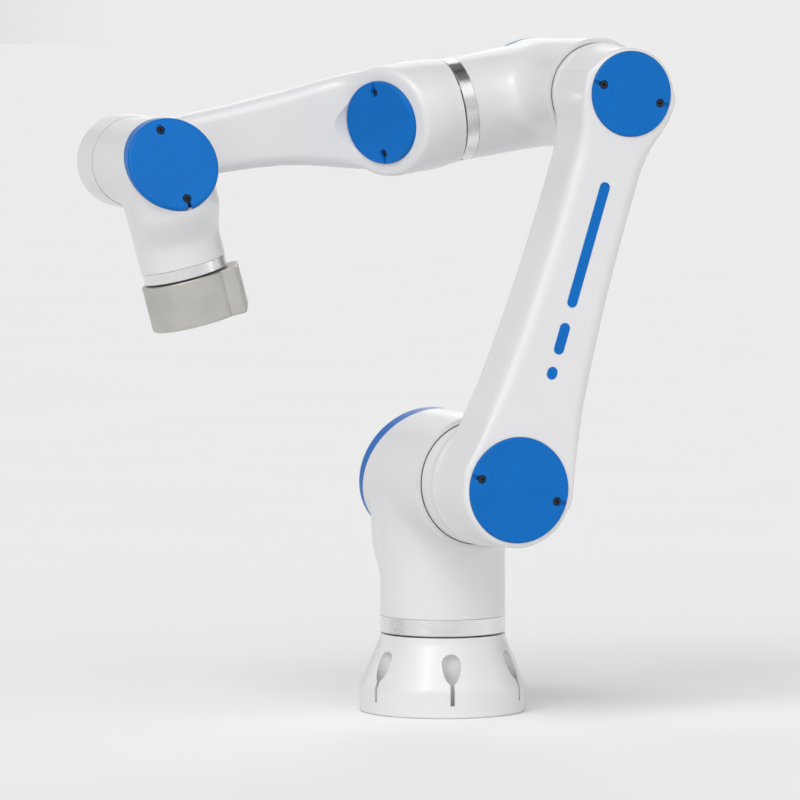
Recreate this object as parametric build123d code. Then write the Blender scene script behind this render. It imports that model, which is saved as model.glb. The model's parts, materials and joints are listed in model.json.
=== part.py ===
"""Six-axis collaborative robot arm, bolted down by its base.

Frame: millimetres, +Z up along the first joint axis, origin at the centre of the base's
bottom face. The arm is stored in a working pose in the XZ plane, reaching towards -X.
The upper arm stands off towards -Y, and the forearm comes back behind it towards +Y.
"""
from build123d import *
from math import cos, radians, sin, tan
import os

os.makedirs("parts", exist_ok=True)

# ---- driving dimensions -------------------------------------------------------------
SHOULDER_HEIGHT = 224.0    # J2 axis above the floor
UPPER_ARM_LENGTH = 380.0   # J2 axis to J3 axis
FOREARM_LENGTH = 401.0     # J3 axis to J5 axis
FLANGE_REACH = 153.0       # J5 axis to the tool face
UPPER_ARM_LEAN = 17.0      # stored pose: upper arm leans from +Z towards +X
FOREARM_DROP = 9.3         # stored pose: forearm falls below the horizontal
WRIST_SWING = 15.0         # stored pose: wrist leans from -Z towards +X

WALL = 5.0                 # casting wall
FIT = 0.05                 # radial gap of a part in its bore
JOINT_GAP = 1.5            # gap between two links at a joint
COVER_WALL = 3.5           # moulded cover wall
SPLIT_TILT = 29.3          # slanted plane where a barrel's cover meets its casting
FACE_TILT = 22.0           # outer face of a slanted cover

BASE_R = 79.0              # foot radius
BASE_NECK_R = 59.4         # neck and shoulder tube radius
BASE_TOP = 74.0            # top of the base casting
BASE_BOLT_PCD = 134.0      # circle of the six foot bolts
BASE_BOLT_HOLE_R = 4.4     # clearance for M8
BASE_BOLT_COUNT = 6
BASE_TURN = -104.2         # direction of the first foot pocket, degrees from +X
RING_WIDTH = 16.0          # polished trim ring of J1

ARM_FACE_Y = -196.6        # outer face of the upper arm
SHOULDER_SEAM_Y = -95.0    # J2 interface
ELBOW_SEAM_Y = -115.0      # J3 interface
WRIST_SEAM = 66.0          # J5 interface, distance from the arm plane

SHOULDER_R = 62.9          # J2 barrel
SHOULDER_SPLIT = 45.9      # where its cover plane crosses the J2 axis
ELBOW_R = 51.5
ELBOW_SPLIT = 36.0
ELBOW_LEG_R = 49.0
J4_SEAM = 108.5            # J3 axis to the J4 interface
FOREARM_R = 52.0
FOREARM_SPLIT = 174.6      # J3 axis to the forearm cover, along J4
FOREARM_COVER_R = 39.2
FOREARM_SPLIT_TILT = 25.6
WRIST_R = 42.5
WRIST_SPLIT = 38.0
WRIST_LEG_R = 40.2
J6_SEAM = 108.5            # J5 axis to the J6 interface
FLANGE_R = 43.0
FLANGE_BOSS_FACE = 48.5    # flat side of the flange that carries the tool socket
FLANGE_BOSS_HALF = 26.0
FLANGE_BOSS_TURN = 201.0   # direction of that side round J6

TOOL_PCD = 50.0            # ISO 9409-1-50-4-M6 tool flange
TOOL_THREAD_R = 2.5        # tapping size of M6
TOOL_DOWEL_R = 3.0
TOOL_PILOT_R = 15.75
TOOL_PILOT_DEPTH = 6.0
TOOL_HOLE_DEPTH = 12.0

FLOW_SUNK = 1.5            # the flowing back starts this far inside the leg
RIM_SUNK = 0.8             # and ends this far inside the barrel at the cover rim
RIM_OVER = 3.0             # before it is trimmed it runs this far past the rim
HUB_RISE = JOINT_GAP + 6.0   # the output hub stands this far past its seam
WEB = 6.0                  # plate in a link that its joint hub is bolted to

SCREW_INSET = 10.0         # screw centres stand this far inside a cover's edge
SCREW_HEAD_R = 3.4
SCREW_HEAD = 3.0
SCREW_SHANK_R = 2.0
SCREW_RECESS_R = 4.2
SCREW_SEAT = 4.0           # recess depth below the outer face
SCREW_POST_R = 5.6

POCKET_R = 9.0             # bolt pocket in the flare of the foot
POCKET_TOP = 51.0          # its round top starts here
POCKET_SLOT = 4.0          # slot from the pocket out through the rim of the foot
FOOT_PLATE = 12.0          # solid flange of the foot under the bolt heads
BASE_PLATE = 4.0           # thickness of the closing plate in the underside
BASE_PLATE_R = 52.0
CONNECTOR_R = 9.0
CONNECTOR_SEAT = 8.0       # flat spot in the wall under the connector's collar

ARM_BACK_Y = -122.0        # back of the beam between the two joint housings
ARM_SKIN_Y = ARM_FACE_Y + 1.8
ARM_END_R = (54.0, 43.0)   # housings at the front
ARM_SEAM_R = (58.0, 46.5)  # the same housings where they meet the joints
ARM_COVER_R = (48.8, 39.4)
ARM_SIDE = ((62, 47.0), (120, 40.6), (190, 36.2), (250, 34.4), (310, 34.4), (346, 36.8))
ARM_ROUND_ENDS = 4.0       # edge rounding at the housings
ARM_ROUND_SIDE = 12.0      # edge rounding along the beam
ARM_ROUND_DEPTH = 9.0
ARM_COVER_THICK = 5.0

END_HOUSING_R = 43.0       # J5 housing at the forearm's far end
END_HOUSING_BACK = 117.0   # its closed side, distance from the arm plane
END_COVER_R = 35.0

TOOL_SOCKET_R = 6.0
TOOL_SOCKET_PLACE = Rot(0, 0, FLANGE_BOSS_TURN) * Pos(FLANGE_BOSS_FACE, 0, 20) * Rot(0, 90, 0)

LOW = (Align.CENTER, Align.CENTER, Align.MIN)
BIG = 500.0                # larger than any link, for cutting


# ---- where the links stand in the stored pose ---------------------------------------
def turned(direction_deg):
    """Unit vector in the XZ plane, measured from +X towards +Z."""
    a = radians(direction_deg)
    return Vector(cos(a), 0, sin(a))


SHOULDER = Vector(0, 0, SHOULDER_HEIGHT)
ARM_DIR = turned(90 - UPPER_ARM_LEAN)
ELBOW = SHOULDER + ARM_DIR * UPPER_ARM_LENGTH
FOREARM_DIR = turned(180 + FOREARM_DROP)
WRIST = ELBOW + FOREARM_DIR * FOREARM_LENGTH
TOOL_DIR = turned(270 + WRIST_SWING)
Y_AXIS = Vector(0, 1, 0)


def frame(origin, y_dir, z_dir):
    """A link frame given by its origin and the directions of its own Y and Z."""
    return Plane(origin=origin, x_dir=y_dir.cross(z_dir), z_dir=z_dir)


# In a module's own frame the joint barrel lies along Y: the seam with the next link is
# on -Y, the slanted cover on +Y and +Z, and the leg points along -Z.
SHOULDER_FRAME = frame(SHOULDER, Y_AXIS, Vector(0, 0, 1))
ELBOW_FRAME = frame(ELBOW, Y_AXIS, FOREARM_DIR * -1)
WRIST_FRAME = frame(WRIST, Y_AXIS * -1, TOOL_DIR * -1)
UPPER_ARM_FRAME = frame(SHOULDER, Y_AXIS, ARM_DIR)
# The forearm's barrel lies along J4, so its own Y is the forearm direction.
FOREARM_FRAME = frame(ELBOW, FOREARM_DIR, Y_AXIS * -1)


# ---- basic solids -------------------------------------------------------------------
def disc(radius, low, high, bore=0.0):
    """Cylinder or ring along Z between two heights."""
    body = Pos(0, 0, low) * Cylinder(radius, high - low, align=LOW)
    if bore:
        body -= Pos(0, 0, low) * Cylinder(bore, high - low, align=LOW)
    return body


def barrel(radius, low, high, bore=0.0):
    """Cylinder or ring along Y between two stations."""
    return Rot(-90, 0, 0) * disc(radius, low, high, bore)


def cone(low_radius, high_radius, low, high):
    """Cylinder along Z whose radius changes evenly from low to high."""
    profile = Polyline((0, low), (low_radius, low), (high_radius, high), (0, high), close=True)
    return revolve(Plane.XZ * make_face(profile), Axis.Z)


def slanted_plane(station, tilt):
    """Plane that crosses the Y axis at station, its normal tilted from +Y towards +Z."""
    a = radians(tilt)
    return Plane(origin=(0, station, 0), x_dir=(1, 0, 0), z_dir=(0, cos(a), sin(a)))


def beyond(station, tilt):
    """Everything on the far side of a slanted plane."""
    return slanted_plane(station, tilt).location * Box(BIG, BIG, BIG, align=LOW)


def polar(radius, count, start=0.0):
    """Locations spaced evenly round the Z axis."""
    return [Rot(0, 0, start + i * 360 / count) * Pos(radius, 0, 0) for i in range(count)]


def save(name, shape):
    """Write one node, keeping every solid of a group as its own."""
    solids = shape.solids()
    export_step(solids[0] if len(solids) == 1 else Compound(children=list(solids)),
                os.path.join("parts", name + ".step"))


# ---- slanted covers of the barrels --------------------------------------------------
def wedge(radius, split, split_tilt, face, face_tilt):
    """Length of barrel between the split plane and the outer face plane."""
    body = barrel(radius, split - 2 * radius, face + 2 * radius)
    body -= beyond(face, face_tilt)
    return body & beyond(split, split_tilt)


def screw_places(radius, along_z):
    """Centres of the two cover screws, opposite each other near the rim."""
    offset = radius - SCREW_INSET
    if along_z:
        return [(0, offset), (0, -offset)]
    return [(offset, 0), (-offset, 0)]


def face_station(x, z, face, tilt):
    """Where a plane that crosses Y at face meets a line parallel to Y at x, z."""
    return face - z * tan(radians(tilt))


def cover(radius, split, split_tilt, face, face_tilt, along_z, edge):
    """Hollow moulded cover with two recessed screw seats open to the rim."""
    body = wedge(radius, split, split_tilt, face, face_tilt)
    rim = body.edges().sort_by(lambda e: e.center().Y - e.center().Z * tan(radians(-face_tilt)))
    body = fillet(rim[-1], edge)
    hollow = wedge(radius - COVER_WALL, split - 1, split_tilt, face - COVER_WALL, face_tilt)
    body -= hollow
    for x, z in screw_places(radius, along_z):
        outer = face_station(x, z, face, face_tilt)
        seat = outer - SCREW_SEAT
        inner = face_station(x, z, split, split_tilt)
        post = Pos(x, 0, z) * barrel(SCREW_POST_R, inner - 20, seat + 1)
        body += post & wedge(radius - 1, split, split_tilt, face - 1, face_tilt)
        body -= Pos(x, 0, z) * barrel(SCREW_RECESS_R, seat, outer + 20)
        body -= Pos(x, 0, z) * barrel(SCREW_SHANK_R + 0.3, inner - 20, outer)
        slot = Box(BIG / 10, 20, 4.0, align=(Align.MIN, Align.MIN, Align.CENTER))
        angle = 0 if x > 0 else 180
        if along_z:
            angle = -90 if z > 0 else 90
        body -= Pos(x, seat + 1.5, z) * Rot(0, angle, 0) * slot
    return body


def cover_screws(radius, split, split_tilt, face, face_tilt, along_z):
    """The two socket screws of a cover."""
    screws = []
    for x, z in screw_places(radius, along_z):
        seat = face_station(x, z, face, face_tilt) - SCREW_SEAT
        inner = face_station(x, z, split, split_tilt)
        head = barrel(SCREW_HEAD_R, seat, seat + SCREW_HEAD)
        socket = Rot(-90, 0, 0) * extrude(
            Pos(0, 0, seat + SCREW_HEAD) * RegularPolygon(1.9, 6), -1.8)
        shank = barrel(SCREW_SHANK_R, inner - 8, seat)
        screws.append(Pos(x, 0, z) * (head + shank - socket))
    return Compound(children=screws)


def screw_bosses(radius, split, split_tilt, along_z, reach):
    """Threaded bosses inside a casting, ending on its split plane."""
    bosses = []
    for x, z in screw_places(radius, along_z):
        inner = face_station(x, z, split, split_tilt)
        boss = barrel(SCREW_POST_R, inner - reach, inner + 20)
        bosses.append(Pos(x, 0, z) * boss)
    return bosses


def screw_holes(radius, split, split_tilt, along_z):
    """Tapped holes for the cover screws."""
    holes = []
    for x, z in screw_places(radius, along_z):
        inner = face_station(x, z, split, split_tilt)
        holes.append(Pos(x, 0, z) * barrel(SCREW_SHANK_R, inner - 10, inner + 20))
    return holes


# ---- drive unit: motor, strain-wave gear, encoder -----------------------------------
def drive_unit(bore_r, length, hub_rise):
    """One joint's drive along -Z from its seam at Z = 0, with its hub rising past it.

    Returns gear ring, stator and encoder, which stay with the housing, the hub, which
    is bolted to the next link, and the rotor, which spins with the motor shaft.
    """
    shaft_r = 0.20 * bore_r
    shaft_bore_r = shaft_r - 2.0
    cup_r = 0.70 * bore_r
    cup_wall = 2.5
    gear_back = -0.34 * length
    gear = disc(bore_r - FIT, gear_back, -2.0, bore=cup_r + 0.4)
    for spot in polar(0.86 * bore_r, 12):
        gear -= spot * disc(1.8, -10, 0)
    hub = disc(cup_r, gear_back + 2, hub_rise)
    hub -= disc(cup_r - cup_wall, gear_back + 1, -5)
    hub -= disc(shaft_r + 1.0, gear_back, hub_rise + 1)
    for spot in polar(0.55 * bore_r, 8):
        hub -= spot * disc(1.6, hub_rise - 6, hub_rise + 1)
    stator = disc(0.90 * bore_r, -0.78 * length, -0.42 * length, bore=0.55 * bore_r)
    for spot in polar(0.55 * bore_r, 24):
        stator -= spot * Pos(0, 0, -0.78 * length - 1) * Box(
            0.16 * bore_r, 0.05 * bore_r, 0.36 * length + 2, align=LOW)
    rotor = disc(shaft_r, -0.96 * length, -8, bore=shaft_bore_r)
    rotor += disc(0.52 * bore_r, -0.74 * length, -0.46 * length, bore=shaft_bore_r)
    rotor += disc(cup_r - cup_wall - 0.4, gear_back + 4, -9, bore=shaft_bore_r)
    encoder = disc(0.80 * bore_r, -0.95 * length, -0.92 * length, bore=shaft_r + 1.0)
    encoder += disc(0.45 * bore_r, -0.92 * length, -0.86 * length, bore=shaft_r + 1.0)
    return {"gear_ring": gear, "stator": stator, "encoder": encoder,
            "output_hub": hub, "rotor": rotor}


def save_drive(joint, place, bore_r, length, hub_rise):
    """Write the five nodes of a drive unit, standing at its seam."""
    for name, shape in drive_unit(bore_r, length, hub_rise).items():
        save(joint + "_" + name, place * shape)


# ---- L-shaped joint modules ---------------------------------------------------------
def module_outer(radius, seam, split, leg_r, leg_top_r, leg_end, flow_at):
    """Barrel along Y, leg along -Z, and a flowing back between leg and cover rim."""
    body = barrel(radius, seam, split + 2 * radius)
    body = fillet(body.edges().sort_by(Axis.Y)[0], 5.0)
    leg = cone(leg_r, leg_top_r, leg_end, 0)
    rim_r = radius - RIM_SUNK
    rim = slanted_plane(split + RIM_OVER, SPLIT_TILT) * Ellipse(
        rim_r, rim_r / cos(radians(SPLIT_TILT)))
    waist_r = leg_r + (leg_top_r - leg_r) * (flow_at - leg_end) / -leg_end
    back = loft([Plane.XY.offset(flow_at) * Circle(waist_r - FLOW_SUNK), rim])
    return (body + leg + back) - beyond(split, SPLIT_TILT)


def module_casting(radius, seam, split, leg_r, leg_top_r, leg_end, flow_at):
    """Hollow casting of a joint module, open at seam, cover rim and leg end."""
    body = module_outer(radius, seam, split, leg_r, leg_top_r, leg_end, flow_at)
    hollow = barrel(radius - WALL, seam - 1, split + 2 * radius)
    hollow += cone(leg_r - WALL, leg_r - WALL, leg_end - 1, 0)
    for boss in screw_bosses(radius, split, SPLIT_TILT, True, 14):
        hollow -= boss
    body -= hollow
    for hole in screw_holes(radius, split, SPLIT_TILT, True):
        body -= hole
    return body


def cover_face(radius, split, thin):
    """Station of a slanted cover's outer face that leaves it thin at its low side."""
    drop = tan(radians(SPLIT_TILT)) - tan(radians(FACE_TILT))
    return split + radius * drop + thin


def save_module_cover(name, place, radius, split, thin, edge):
    """Cover and screws of a joint module."""
    face = cover_face(radius, split, thin)
    shell = cover(radius, split, SPLIT_TILT, face, FACE_TILT, True, edge)
    save(name + "_cover", place * shell)
    screws = cover_screws(radius, split, SPLIT_TILT, face, FACE_TILT, True)
    save(name + "_cover_screws", place * screws)


# ---- base ---------------------------------------------------------------------------
def base_casting():
    """Bell-shaped foot with six arched bolt pockets and a rear connector seat."""
    outline = Polyline((0, 0), (BASE_R - 1.5, 0), (BASE_R, 1.5), (BASE_R, 25),
                       (BASE_NECK_R + 1, 68), (BASE_NECK_R, BASE_TOP), (0, BASE_TOP),
                       close=True)
    body = revolve(Plane.XZ * make_face(outline), Axis.Z)
    bends = body.edges().filter_by(GeomType.CIRCLE).filter_by(
        lambda e: 20 < e.center().Z < 70)
    body = fillet(bends, 12)
    body -= disc(BASE_NECK_R - WALL, BASE_PLATE, BASE_TOP + 1)
    body -= disc(BASE_PLATE_R, -1, BASE_PLATE + 1)
    pocket = disc(POCKET_R, FOOT_PLATE, POCKET_TOP) + Pos(0, 0, POCKET_TOP) * Sphere(POCKET_R)
    pocket += Pos(0, 0, FOOT_PLATE) * Box(
        30, POCKET_SLOT, POCKET_TOP - FOOT_PLATE, align=(Align.MIN, Align.CENTER, Align.MIN))
    pocket += disc(BASE_BOLT_HOLE_R, -1, FOOT_PLATE + 1)
    for spot in polar(BASE_BOLT_PCD / 2, BASE_BOLT_COUNT, BASE_TURN):
        body -= spot * pocket
    body -= CONNECTOR_PLACE * disc(CONNECTOR_R, -30, 30)
    body -= CONNECTOR_PLACE * disc(CONNECTOR_R + 4.5, CONNECTOR_SEAT, 30)
    return body


CONNECTOR_PLACE = Rot(0, 0, BASE_TURN + 150) * Pos(66, 0, 36) * Rot(0, 90, 0)


def base_bottom_plate():
    """Sheet plate that closes the underside, set just above the mounting face."""
    plate = disc(BASE_PLATE_R - 0.2, 0.5, BASE_PLATE)
    for spot in polar(BASE_PLATE_R - 7, 6, 15):
        plate -= spot * disc(1.7, 0, BASE_PLATE + 1)
    return plate


def base_connector():
    """Panel socket for the controller cable, with its threaded collar and pins."""
    body = disc(CONNECTOR_R - FIT, -8, CONNECTOR_SEAT)
    body += disc(CONNECTOR_R + 4, CONNECTOR_SEAT, 11) + disc(CONNECTOR_R - 1, 11, 20)
    body -= disc(CONNECTOR_R - 3, 6, 21)
    for spot in polar(3.2, 6):
        body += spot * disc(0.7, 5, 16)
    return CONNECTOR_PLACE * body


def trim_ring(outer_r, bore_r, low, high):
    """Turned and polished ring with softened outer edges."""
    ring = disc(outer_r, low, high, bore=bore_r)
    rims = ring.edges().filter_by(GeomType.CIRCLE).filter_by(lambda e: e.radius > bore_r + 1)
    return chamfer(rims, 0.6)


def seal(outer_r):
    """Lip seal that stands on the gear ring and reaches across a joint gap."""
    return disc(outer_r, -2.0, JOINT_GAP - 0.4, bore=outer_r - 5)


# ---- upper arm ----------------------------------------------------------------------


def arm_outline(end_inset, side_inset):
    """Outline of the upper arm seen along Y: two round ends and hollow sides."""
    low_r, high_r = (r - end_inset for r in ARM_END_R)
    low_angle, high_angle = radians(14), radians(-9)
    start = Vector(low_r * cos(low_angle), low_r * sin(low_angle))
    end = Vector(high_r * cos(high_angle), UPPER_ARM_LENGTH + high_r * sin(high_angle))
    side = [(x - side_inset, z) for z, x in ARM_SIDE]
    tangents = [(-sin(low_angle), cos(low_angle)), (-sin(high_angle), cos(high_angle))]
    right = Spline(start, *side, end, tangents=tangents)
    left = mirror(right, Plane.YZ)
    top = ThreePointArc(end, (0, UPPER_ARM_LENGTH + high_r), (-end.X, end.Y))
    bottom = ThreePointArc(start, (0, -low_r), (-start.X, start.Y))
    return make_face([right, top, left, bottom])


def arm_slab(end_inset, side_inset, back, front):
    """Upper arm outline as a slab between two stations along Y."""
    face = Plane(origin=(0, back, 0), x_dir=(1, 0, 0), z_dir=(0, -1, 0)) * arm_outline(
        end_inset, side_inset)
    return extrude(face, back - front, dir=(0, -1, 0))


def arm_edge(back, front):
    """Rounded edge of the beam, lofted from full section at back to the flat at front."""
    sections = []
    for step in range(5):
        a = radians(90 * step / 4)
        inset = 1 - cos(a)
        station = back + (front - back) * sin(a)
        plane = Plane(origin=(0, station, 0), x_dir=(1, 0, 0), z_dir=(0, -1, 0))
        sections.append(plane * arm_outline(ARM_ROUND_ENDS * inset, ARM_ROUND_SIDE * inset))
    return loft(sections, ruled=True)


def arm_housing(index):
    """Joint housing at one end of the upper arm, tapering towards the front."""
    seam = (SHOULDER_SEAM_Y, ELBOW_SEAM_Y)[index] - JOINT_GAP / 2
    front = ARM_BACK_Y - 30
    body = Rot(90, 0, 0) * cone(ARM_SEAM_R[index], ARM_END_R[index], -seam, -front)
    body = fillet(body.edges().sort_by(Axis.Y)[-1], 2.0)
    return Pos(0, 0, UPPER_ARM_LENGTH * index) * body


def hub_web_holes(bore_r):
    """Cable hole and bolt holes through a hub web, along Z."""
    cuts = disc(0.2 * bore_r + 1, -BIG / 10, BIG / 10)
    for spot in polar(0.55 * bore_r, 8):
        cuts += spot * disc(1.8, -BIG / 10, BIG / 10)
    return cuts


def upper_arm_casting():
    """Hollow box beam with a joint housing at each end."""
    body = arm_slab(0, 0, ARM_BACK_Y - ARM_ROUND_DEPTH, ARM_SKIN_Y + ARM_ROUND_DEPTH)
    body += arm_edge(ARM_SKIN_Y + ARM_ROUND_DEPTH, ARM_SKIN_Y)
    body += arm_edge(ARM_BACK_Y - ARM_ROUND_DEPTH, ARM_BACK_Y)
    body += arm_housing(0) + arm_housing(1)
    hollow = arm_slab(WALL + 1, WALL + 3, ARM_BACK_Y - WALL, ARM_SKIN_Y + WALL + 2)
    for index in (0, 1):
        seam = (SHOULDER_SEAM_Y, ELBOW_SEAM_Y)[index]
        bore = (SHOULDER_R, ELBOW_R)[index] - WALL
        mouth = seam - JOINT_GAP / 2 + JOINT_GAP - HUB_RISE
        place = Pos(0, 0, UPPER_ARM_LENGTH * index)
        radius = ARM_COVER_R[index]
        pocket = barrel(ARM_END_R[index] - WALL, mouth, seam + 5)
        pocket += barrel(radius + 0.3, ARM_SKIN_Y - 1, ARM_SKIN_Y + 3)
        window = barrel(radius - 9, ARM_SKIN_Y - 1, mouth - WEB)
        for x, z in screw_places(radius, False):
            window -= Pos(x, 0, z) * barrel(SCREW_POST_R, ARM_SKIN_Y + 3, ARM_SKIN_Y + 17)
            hollow -= place * Pos(x, 0, z) * barrel(SCREW_POST_R, ARM_SKIN_Y + 3,
                                                    ARM_SKIN_Y + 17)
            pocket += Pos(x, 0, z) * barrel(SCREW_SHANK_R, ARM_SKIN_Y + 1, ARM_SKIN_Y + 13)
        pocket += Pos(0, mouth, 0) * Rot(90, 0, 0) * hub_web_holes(bore) & barrel(
            radius, mouth - WEB - 1, mouth + 1)
        hollow -= place * barrel(ARM_END_R[index] - 1, mouth - WEB, mouth + 1)
        hollow += place * (pocket + window)
    return body - hollow


def arm_cover(index):
    """Flat round cover of an upper arm housing, with two screw seats."""
    radius = ARM_COVER_R[index]
    back = ARM_SKIN_Y + 3
    body = barrel(radius, back - ARM_COVER_THICK, back)
    body = fillet(body.edges().sort_by(Axis.Y)[0], 1.6)
    seat = back - 1.8
    for x, z in screw_places(radius, False):
        body -= Pos(x, 0, z) * barrel(SCREW_RECESS_R, back - 10, seat)
        body -= Pos(x, 0, z) * barrel(SCREW_SHANK_R + 0.3, back - 10, back + 1)
        slot = Box(30, 10, 4.0, align=(Align.MIN, Align.MAX, Align.CENTER))
        body -= Pos(x, seat - 0.6, z) * Rot(0, 0 if x > 0 else 180, 0) * slot
    return Pos(0, 0, UPPER_ARM_LENGTH * index) * body


def flat_cover_screws(radius, seat, depth):
    """Two screws of a flat cover that faces -Y."""
    screws = []
    for x, z in screw_places(radius, False):
        head = barrel(SCREW_HEAD_R, seat - SCREW_HEAD + 0.4, seat)
        socket = Rot(90, 0, 0) * extrude(
            Pos(0, 0, SCREW_HEAD - 0.4 - seat) * RegularPolygon(1.9, 6), -1.8)
        shank = barrel(SCREW_SHANK_R, seat, seat + depth)
        screws.append(Pos(x, 0, z) * (head + shank - socket))
    return screws


def arm_cover_screws():
    """Four screws of the two upper arm covers."""
    screws = []
    for index in (0, 1):
        place = Pos(0, 0, UPPER_ARM_LENGTH * index)
        screws += [place * s for s in flat_cover_screws(
            ARM_COVER_R[index], ARM_SKIN_Y + 1.2, 9)]
    return Compound(children=screws)


# ---- forearm ------------------------------------------------------------------------
# Blade sections: distance along the forearm, bottom and top edge, back and front face.
BLADE = ((132, -47, 47, -49, -14), (178, -46, 49, -66, -26), (205, -38.6, 46.0, -76, -40),
         (250, -28.6, 40.6, -92, -48.5), (300, -25.2, 36.0, -104, -58),
         (345, -27.0, 33.6, -112, -66.8), (380, -33.0, 34.0, -116, -66.8))
BLADE_ROUND = 12.0


def blade_section(station, bottom, top, back, front, inset):
    """Rounded rectangle across the blade, shrunk by inset."""
    plane = Plane(origin=(0, station, 0), x_dir=(1, 0, 0), z_dir=(0, 1, 0))
    width = top - bottom - 2 * inset
    depth = front - back - 2 * inset
    corner = min(BLADE_ROUND - 0.6 * inset, 0.45 * min(width, depth))
    shape = RectangleRounded(width, depth, corner)
    return plane * (Pos((top + bottom) / 2, -(front + back) / 2) * shape)


def blade(inset):
    """Blade that carries the J5 housing from the forearm barrel."""
    return loft([blade_section(*row, inset) for row in BLADE])


def end_housing(radius, back, front):
    """Round housing across the end of the forearm."""
    return Pos(0, FOREARM_LENGTH, 0) * disc(radius, back, front)


def forearm_outer():
    """Barrel round J4, blade and J5 housing."""
    start = J4_SEAM + JOINT_GAP / 2
    body = Rot(-90, 0, 0) * cone(FOREARM_R - 2.5, FOREARM_R, start, start + 26)
    body += barrel(FOREARM_R, start + 26, FOREARM_SPLIT + 60)
    body -= beyond(FOREARM_SPLIT, FOREARM_SPLIT_TILT)
    shell = end_housing(END_HOUSING_R, -END_HOUSING_BACK, -WRIST_SEAM - JOINT_GAP / 2)
    shell = fillet(shell.edges().group_by(Axis.Z)[0], 6.0)
    shell = fillet(shell.edges().group_by(Axis.Z)[-1], 2.0)
    return body, shell


def forearm_casting():
    """Hollow forearm, open at the J4 seam, under its covers and at the J5 seam."""
    housing, shell = forearm_outer()
    body = housing + blade(0) + shell
    start = J4_SEAM + JOINT_GAP / 2
    mouth = start - JOINT_GAP + HUB_RISE
    room = barrel(FOREARM_R - WALL - 1, mouth + WEB, FOREARM_SPLIT + 60)
    room -= beyond(FOREARM_SPLIT - WALL, FOREARM_SPLIT_TILT)
    window = barrel(FOREARM_COVER_R - 9, FOREARM_SPLIT - 40, FOREARM_SPLIT + 60)
    rebate = barrel(FOREARM_COVER_R + 0.3, FOREARM_SPLIT - 60, FOREARM_SPLIT + 60)
    rebate &= beyond(FOREARM_SPLIT - 2, FOREARM_SPLIT_TILT)
    inner_blade = blade(WALL) & Pos(0, 145, 0) * Box(BIG, 240, BIG, align=(
        Align.CENTER, Align.MIN, Align.CENTER))
    hub_face = -WRIST_SEAM + JOINT_GAP / 2 - HUB_RISE
    end_room = end_housing(END_HOUSING_R - WALL, -END_HOUSING_BACK - 1, hub_face - WEB)
    end_mouth = end_housing(WRIST_R - WALL - 1, hub_face, -WRIST_SEAM + 5)
    inner_blade -= end_housing(END_HOUSING_R - 2, hub_face - WEB, 0)
    for boss in screw_bosses(FOREARM_COVER_R, FOREARM_SPLIT, FOREARM_SPLIT_TILT, False, 14):
        room -= boss
        window -= boss
    body -= barrel(FOREARM_R - WALL - 1, start - 1, mouth)
    body -= room
    body -= window
    body -= rebate
    body -= inner_blade
    body -= end_room
    body -= end_mouth
    body -= Pos(0, mouth, 0) * Rot(90, 0, 0) * hub_web_holes(ELBOW_LEG_R - WALL) & barrel(
        FOREARM_R, mouth - 1, mouth + WEB + 1)
    body -= Pos(0, FOREARM_LENGTH, hub_face) * (
        hub_web_holes(WRIST_R - WALL) & disc(WRIST_R, -WEB - 1, 1))
    for hole in screw_holes(FOREARM_COVER_R, FOREARM_SPLIT, FOREARM_SPLIT_TILT, False):
        body -= hole
    return body


def end_cover():
    """Round plug cover on the closed side of the J5 housing."""
    cover_body = end_housing(END_HOUSING_R - WALL - FIT, -END_HOUSING_BACK, -END_HOUSING_BACK + 6)
    return chamfer(cover_body.edges().group_by(Axis.Z)[0], 1.0)


# ---- tool flange --------------------------------------------------------------------
def tool_flange():
    """Tool flange in its own frame: seam at Z = 0 going up, tool face at the top."""
    top = FLANGE_REACH - J6_SEAM - JOINT_GAP / 2
    boss = Pos(FLANGE_BOSS_FACE, 0, 0) * Box(
        FLANGE_BOSS_FACE, 2 * FLANGE_BOSS_HALF, top, align=(Align.MAX, Align.CENTER, Align.MIN))
    boss = fillet(boss.edges().filter_by(Axis.Z).group_by(Axis.X)[-1], 5.0)
    body = disc(FLANGE_R, 0, top) + Rot(0, 0, FLANGE_BOSS_TURN) * boss
    body = fillet(body.edges().group_by(Axis.Z)[-1], 2.5)
    body = chamfer(body.edges().group_by(Axis.Z)[0], 1.0)
    body -= disc(0.72 * (WRIST_LEG_R - WALL), -1, HUB_RISE - JOINT_GAP)
    body -= disc(12, 0, top - TOOL_PILOT_DEPTH - 8)
    body -= disc(TOOL_PILOT_R, top - TOOL_PILOT_DEPTH, top + 1)
    body -= disc(8, 0, top)
    for spot in polar(TOOL_PCD / 2, 4, 45):
        body -= spot * disc(TOOL_THREAD_R, top - TOOL_HOLE_DEPTH, top + 1)
    body -= Pos(TOOL_PCD / 2, 0, 0) * disc(TOOL_DOWEL_R, top - 8, top + 1)
    body -= TOOL_SOCKET_PLACE * disc(TOOL_SOCKET_R, -14, 10)
    return body


def tool_connector():
    """Eight-pin tool socket in the flange's side."""
    body = disc(TOOL_SOCKET_R - FIT, -12, 0.4)
    body -= disc(TOOL_SOCKET_R - 1.4, -7, 1)
    for spot in polar(2.2, 7):
        body += spot * disc(0.45, -8, -2)
    return TOOL_SOCKET_PLACE * body


# ---- write the nodes ----------------------------------------------------------------
def save_base():
    save("base_casting", base_casting())
    save("base_bottom_plate", base_bottom_plate())
    save("base_connector", base_connector())
    save_drive("j1", Pos(0, 0, BASE_TOP), BASE_NECK_R - WALL, 67, JOINT_GAP + RING_WIDTH)


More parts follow.
